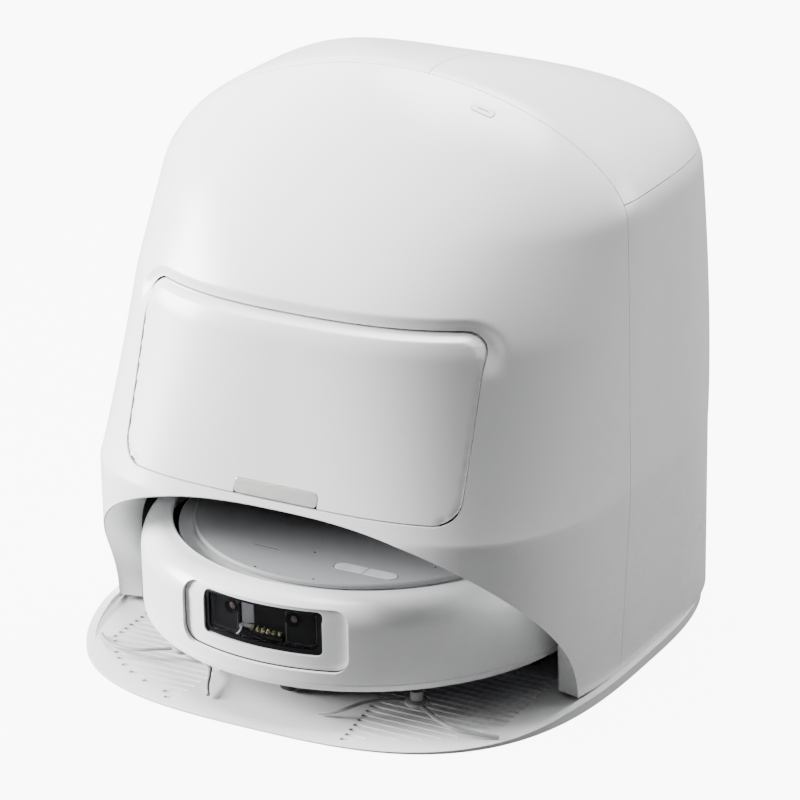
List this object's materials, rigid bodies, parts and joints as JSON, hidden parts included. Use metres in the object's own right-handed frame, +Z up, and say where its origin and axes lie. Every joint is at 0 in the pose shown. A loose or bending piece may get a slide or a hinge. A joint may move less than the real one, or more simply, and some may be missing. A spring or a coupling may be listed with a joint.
{
  "type": "robot vacuum with base station",
  "caption": "Round robot vacuum and mop docked under the arch of its tall self-emptying, mop-washing base station.",
  "frame": {"origin": "centre of the station's box on the floor", "axes": "+Z up, +Y to the back, +X to the right seen from the front; the robot drives out along -Y"},
  "size_m": [0.423, 0.448, 0.4408],
  "materials": {
    "gloss_white_plastic": "semi-gloss moulded",
    "satin_pale_plastic": "satin",
    "translucent_tank_plastic": "smoky translucent",
    "grey_plastic": "fine texture",
    "dark_plastic": "fine texture",
    "black_rubber": "moulded",
    "black_window": "polished",
    "bright_metal": "bright",
    "satin_metal_tab": "satin",
    "gold_contacts": "plated",
    "mop_cloth": "looped microfibre",
    "bag_fleece": "soft fleece",
    "circuit_board": "lacquered",
    "battery_wrap": "shrink film"
  },
  "bodies": {
    "station": {"base_tray": "gloss_white_plastic", "rubber_foot_front_left": "black_rubber", "rubber_foot_front_right": "black_rubber", "rubber_foot_rear_left": "black_rubber", "rubber_foot_rear_right": "black_rubber", "front_shell": "gloss_white_plastic", "rear_shell": "gloss_white_plastic", "power_inlet": "dark_plastic", "garage_liner": "dark_plastic", "charging_contact_left": "bright_metal", "charging_contact_right": "bright_metal", "washboard": "grey_plastic", "dust_compartment": "dark_plastic", "door_hinge_pin_left": "bright_metal", "door_hinge_pin_right": "bright_metal", "dust_bag": "bag_fleece", "detergent_bottle": "satin_pale_plastic", "dust_duct": "grey_plastic", "suction_fan_motor": "dark_plastic", "water_pump": "grey_plastic", "control_board": "circuit_board", "tank_deck": "satin_pale_plastic"},
    "door": {"front_door": "gloss_white_plastic", "door_tab": "satin_metal_tab"},
    "station_button": {"status_button": "satin_pale_plastic"},
    "clean_tank": {"clean_tank_tub": "translucent_tank_plastic"},
    "clean_lid": {"clean_tank_lid": "gloss_white_plastic"},
    "dirty_tank": {"dirty_tank_tub": "translucent_tank_plastic"},
    "dirty_lid": {"dirty_tank_lid": "gloss_white_plastic"},
    "robot": {"robot_chassis": "dark_plastic", "robot_rear_shell": "gloss_white_plastic", "robot_deck": "satin_pale_plastic", "robot_top_plate": "satin_pale_plastic", "sensor_frame": "satin_pale_plastic", "camera_window": "black_window", "camera_left": "dark_plastic", "camera_right": "dark_plastic", "contact_strip": "gold_contacts", "light_module": "grey_plastic", "roller_guard": "grey_plastic", "battery_pack": "battery_wrap", "dust_bin": "grey_plastic", "robot_fan_motor": "dark_plastic", "main_board": "circuit_board"},
    "bumper": {"robot_bumper": "gloss_white_plastic"},
    "home_key": {"home_button": "satin_pale_plastic"},
    "power_key": {"power_button": "satin_pale_plastic"},
    "brush_left": {"side_brush_left": "satin_pale_plastic"},
    "brush_right": {"side_brush_right": "satin_pale_plastic"},
    "arm_left": {"wheel_arm_left": "dark_plastic"},
    "arm_right": {"wheel_arm_right": "dark_plastic"},
    "wheel_left": {"drive_wheel_left": "black_rubber"},
    "wheel_right": {"drive_wheel_right": "black_rubber"},
    "caster_swivel_body": {"caster_fork": "dark_plastic"},
    "caster_roller": {"caster_wheel": "black_rubber"},
    "roller": {"main_roller": "dark_plastic"},
    "mop_left": {"mop_plate_left": "dark_plastic", "mop_pad_left": "mop_cloth"},
    "mop_right": {"mop_plate_right": "dark_plastic", "mop_pad_right": "mop_cloth"}
  },
  "joints": [
    {"name": "robot_drive_out", "type": "slide", "parent": "station", "child": "robot", "axis": [0, -1, 0], "range_m": [0, 0.42]},
    {"name": "door_hinge", "type": "hinge", "parent": "station", "child": "door", "pos_m": [0, -0.135, 0.281], "axis": [-1, 0, 0], "range_deg": [0, 60]},
    {"name": "station_button_press", "type": "slide", "parent": "station", "child": "station_button", "axis": [0, 0, -1], "range_m": [0, 0.0015], "stiffness_N_per_m": 250},
    {"name": "clean_tank_lift", "type": "slide", "parent": "station", "child": "clean_tank", "axis": [0, 0, 1], "range_m": [0, 0.22]},
    {"name": "dirty_tank_lift", "type": "slide", "parent": "station", "child": "dirty_tank", "axis": [0, 0, 1], "range_m": [0, 0.22]},
    {"name": "clean_tank_lid_hinge", "type": "hinge", "parent": "clean_tank", "child": "clean_lid", "pos_m": [0, 0.2088, 0.3602], "axis": [-1, 0, 0], "range_deg": [0, 75]},
    {"name": "dirty_tank_lid_hinge", "type": "hinge", "parent": "dirty_tank", "child": "dirty_lid", "pos_m": [0, 0.2088, 0.3602], "axis": [-1, 0, 0], "range_deg": [0, 75]},
    {"name": "bumper_press", "type": "slide", "parent": "robot", "child": "bumper", "axis": [0, 1, 0], "range_m": [0, 0.003], "stiffness_N_per_m": 400},
    {"name": "home_button_press", "type": "slide", "parent": "robot", "child": "home_key", "axis": [0, 0, -1], "range_m": [0, 0.001], "stiffness_N_per_m": 250},
    {"name": "power_button_press", "type": "slide", "parent": "robot", "child": "power_key", "axis": [0, 0, -1], "range_m": [0, 0.001], "stiffness_N_per_m": 250},
    {"name": "side_brush_left_spin", "type": "hinge", "parent": "robot", "child": "brush_left", "pos_m": [-0.1, -0.149, 0.0105], "axis": [0, 0, 1], "continuous": true},
    {"name": "wheel_arm_left_travel", "type": "hinge", "parent": "robot", "child": "arm_left", "pos_m": [-0.13, 0.02, 0.0381], "axis": [-1, 0, 0], "range_deg": [0, 10]},
    {"name": "drive_wheel_left_roll", "type": "hinge", "parent": "arm_left", "child": "wheel_left", "pos_m": [-0.137, -0.034, 0.0381], "axis": [1, 0, 0], "continuous": true},
    {"name": "side_brush_right_spin", "type": "hinge", "parent": "robot", "child": "brush_right", "pos_m": [0.1, -0.149, 0.0105], "axis": [0, 0, 1], "continuous": true},
    {"name": "wheel_arm_right_travel", "type": "hinge", "parent": "robot", "child": "arm_right", "pos_m": [0.13, 0.02, 0.0381], "axis": [-1, 0, 0], "range_deg": [0, 10]},
    {"name": "drive_wheel_right_roll", "type": "hinge", "parent": "arm_right", "child": "wheel_right", "pos_m": [0.137, -0.034, 0.0381], "axis": [1, 0, 0], "continuous": true},
    {"name": "caster_swivel", "type": "hinge", "parent": "robot", "child": "caster_swivel_body", "pos_m": [0, -0.162, 0.02], "axis": [0, 0, 1], "continuous": true},
    {"name": "caster_roll", "type": "hinge", "parent": "caster_swivel_body", "child": "caster_roller", "pos_m": [0, -0.162, 0.0136], "axis": [1, 0, 0], "continuous": true},
    {"name": "main_roller_spin", "type": "hinge", "parent": "robot", "child": "roller", "pos_m": [0, -0.034, 0.027], "axis": [1, 0, 0], "continuous": true},
    {"name": "mop_left_spin", "type": "hinge", "parent": "robot", "child": "mop_left", "pos_m": [-0.062, 0.061, 0.01], "axis": [0, 0, 1], "continuous": true},
    {"name": "mop_right_spin", "type": "hinge", "parent": "robot", "child": "mop_right", "pos_m": [0.062, 0.061, 0.01], "axis": [0, 0, 1], "continuous": true}
  ],
  "couplings": [
    {"joint": "mop_right_spin", "follows": "mop_left_spin", "ratio": -1}
  ]
}
